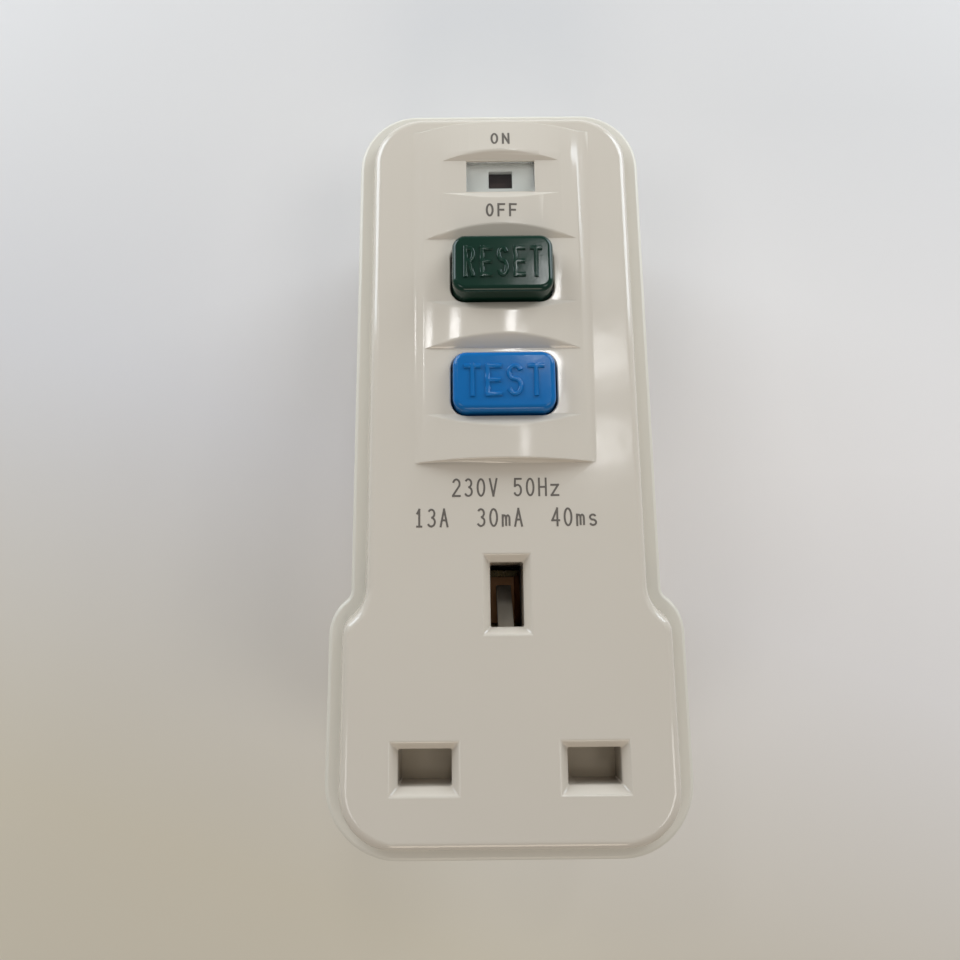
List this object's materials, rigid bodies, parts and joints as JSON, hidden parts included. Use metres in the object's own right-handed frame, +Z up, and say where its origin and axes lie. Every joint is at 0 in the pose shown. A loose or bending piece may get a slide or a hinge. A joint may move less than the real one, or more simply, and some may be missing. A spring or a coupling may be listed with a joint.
{
  "type": "rcd adapter plug",
  "caption": "Plug-in residual current adapter: tall gloss case with a shuttered socket, test and reset buttons, a flag window and plug pins behind.",
  "frame": {"origin": "on the flat mating face, midway between the live and neutral pins", "axes": "+Z up along the case, +Y out of the mating face along the plug pins, -Y the way the front looks, +X to the right seen from the front"},
  "size_m": [0.052, 0.0657, 0.1123],
  "materials": {
    "cover_white": "gloss moulded",
    "cover_rear": "gloss moulded",
    "lens": "clear moulded",
    "mask_grey": "moulded",
    "button_green": "gloss moulded",
    "button_blue": "gloss moulded",
    "flag_black": "moulded",
    "flag_red": "moulded",
    "shutter_white": "moulded",
    "carrier_tan": "moulded",
    "carriage_grey": "moulded",
    "sleeve_black": "moulded",
    "pin_brass": "turned and drawn",
    "contact_bronze": "rolled strip",
    "copper": "enamelled wire",
    "steel": "bright",
    "spring_steel": "drawn wire",
    "core_grey": "wound strip",
    "lead_brown": "insulated",
    "lead_blue": "insulated",
    "board_green": "laminate",
    "chip_black": "moulded"
  },
  "bodies": {
    "case": {"front_cover": "cover_white", "rear_cover": "cover_rear", "case_screws": "steel", "window_lens": "lens", "window_mask": "mask_grey", "reset_spring": "spring_steel", "test_spring": "spring_steel", "test_contact_blade": "contact_bronze", "flag_pivot_pin": "steel", "shutter_spring": "spring_steel", "contact_carrier": "carrier_tan", "live_clip": "contact_bronze", "neutral_clip": "contact_bronze", "earth_clip": "contact_bronze", "live_pin": "pin_brass", "neutral_pin": "pin_brass", "earth_pin": "pin_brass", "live_sleeve": "sleeve_black", "neutral_sleeve": "sleeve_black", "chassis": "carrier_tan", "live_load_strip": "contact_bronze", "neutral_load_strip": "contact_bronze", "live_line_contact": "contact_bronze", "neutral_line_contact": "contact_bronze", "trip_spring": "spring_steel", "plunger_spring": "spring_steel", "coil_bobbin": "carrier_tan", "coil_winding": "copper", "coil_yoke": "steel", "sensing_core": "core_grey", "sensing_winding": "copper", "core_cradle": "carrier_tan", "live_lead": "lead_brown", "neutral_lead": "lead_blue", "circuit_board": "board_green", "board_screws": "steel", "control_chip": "chip_black", "thyristor": "chip_black", "varistor": "button_blue", "capacitor": "chip_black", "test_resistor": "carrier_tan"},
    "reset": {"reset_button": "button_green", "reset_shaft": "steel"},
    "test": {"test_button": "button_blue"},
    "shutter": {"shutter": "shutter_white"},
    "carriage": {"contact_carriage": "carriage_grey", "live_moving_contact": "contact_bronze", "neutral_moving_contact": "contact_bronze"},
    "latch": {"latch_plate": "steel"},
    "plunger": {"plunger": "steel"},
    "flag": {"flag_lever": "flag_black", "flag_red_tile": "flag_red"}
  },
  "joints": [
    {"name": "reset_press", "type": "slide", "parent": "case", "child": "reset", "axis": [0, 1, 0], "range_m": [0, 0.0035], "stiffness_N_per_m": 400, "springref_m": -0.004, "deforming": ["reset_spring"]},
    {"name": "test_press", "type": "slide", "parent": "case", "child": "test", "axis": [0, 1, 0], "range_m": [0, 0.0016], "stiffness_N_per_m": 500, "springref_m": -0.003, "deforming": ["test_spring"]},
    {"name": "shutter_slide", "type": "slide", "parent": "case", "child": "shutter", "axis": [0, 0, -1], "range_m": [0, 0.0064], "stiffness_N_per_m": 80, "springref_m": -0.005, "deforming": ["shutter_spring"]},
    {"name": "carriage_lift", "type": "slide", "parent": "case", "child": "carriage", "axis": [0, -1, 0], "range_m": [0, 0.00195], "stiffness_N_per_m": 400, "springref_m": -0.003, "deforming": ["trip_spring"]},
    {"name": "flag_swing", "type": "hinge", "parent": "case", "child": "flag", "pos_m": [0, -0.02478, 0.0838], "axis": [1, 0, 0], "range_deg": [-18.5, 0]},
    {"name": "plunger_pull", "type": "slide", "parent": "case", "child": "plunger", "axis": [0, 0, 1], "range_m": [0, 0.0015], "stiffness_N_per_m": 200, "springref_m": -0.003, "deforming": ["plunger_spring"]},
    {"name": "latch_slide", "type": "slide", "parent": "carriage", "child": "latch", "axis": [0, 0, 1], "range_m": [0, 0.0015]}
  ],
  "couplings": [
    {"joint": "flag_swing", "follows": "carriage_lift", "rad_per_m": -164.7},
    {"joint": "latch_slide", "follows": "plunger_pull", "ratio": 1}
  ]
}
